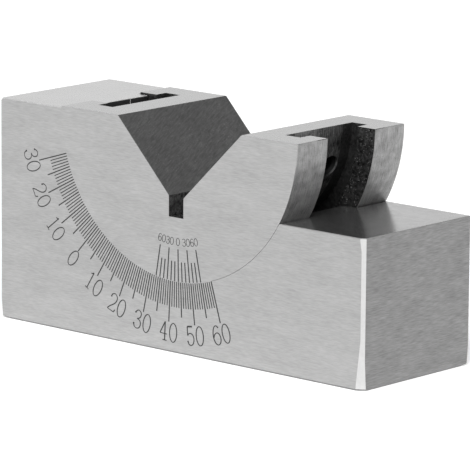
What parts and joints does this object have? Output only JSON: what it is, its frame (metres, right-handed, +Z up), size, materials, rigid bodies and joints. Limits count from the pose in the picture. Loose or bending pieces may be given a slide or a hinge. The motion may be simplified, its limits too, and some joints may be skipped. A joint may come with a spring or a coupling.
{
  "type": "adjustable v-block",
  "caption": "Stepped ground base with a half-round V-block that tilts in its round seat, read on an engraved angle scale and vernier and clamped from below by screws and a shoe.",
  "frame": {"origin": "middle of the base's underside", "axes": "+X along the base towards its low end, +Y across it away from the engraved scale, +Z up"},
  "size_m": [0.075, 0.025, 0.0356],
  "materials": {
    "ground_steel": "surface ground, satin",
    "machined_steel": "rough machined",
    "black_steel": "black oxide"
  },
  "bodies": {
    "base": {"base_block": "ground_steel"},
    "v_block": {"tilting_v_block": "ground_steel"},
    "shoe": {"clamp_shoe": "machined_steel"},
    "screw_left": {"clamp_screw_left": "black_steel"},
    "screw_right": {"clamp_screw_right": "black_steel"}
  },
  "joints": [
    {"name": "block_tilt", "type": "hinge", "parent": "base", "child": "v_block", "pos_m": [0, 0, 0.03555], "axis": [0, 1, 0], "range_deg": [-16.1, 73.9]},
    {"name": "screw_left_turn", "type": "hinge", "parent": "base", "child": "screw_left", "pos_m": [-0.006, 0, 0.0056], "axis": [0, 0, -1], "range_deg": [0, 180]},
    {"name": "screw_right_turn", "type": "hinge", "parent": "base", "child": "screw_right", "pos_m": [0.006, 0, 0.0056], "axis": [0, 0, -1], "range_deg": [0, 180]},
    {"name": "shoe_lift", "type": "slide", "parent": "base", "child": "shoe", "axis": [0, 0, 1], "range_m": [0, 0.0004]}
  ]
}
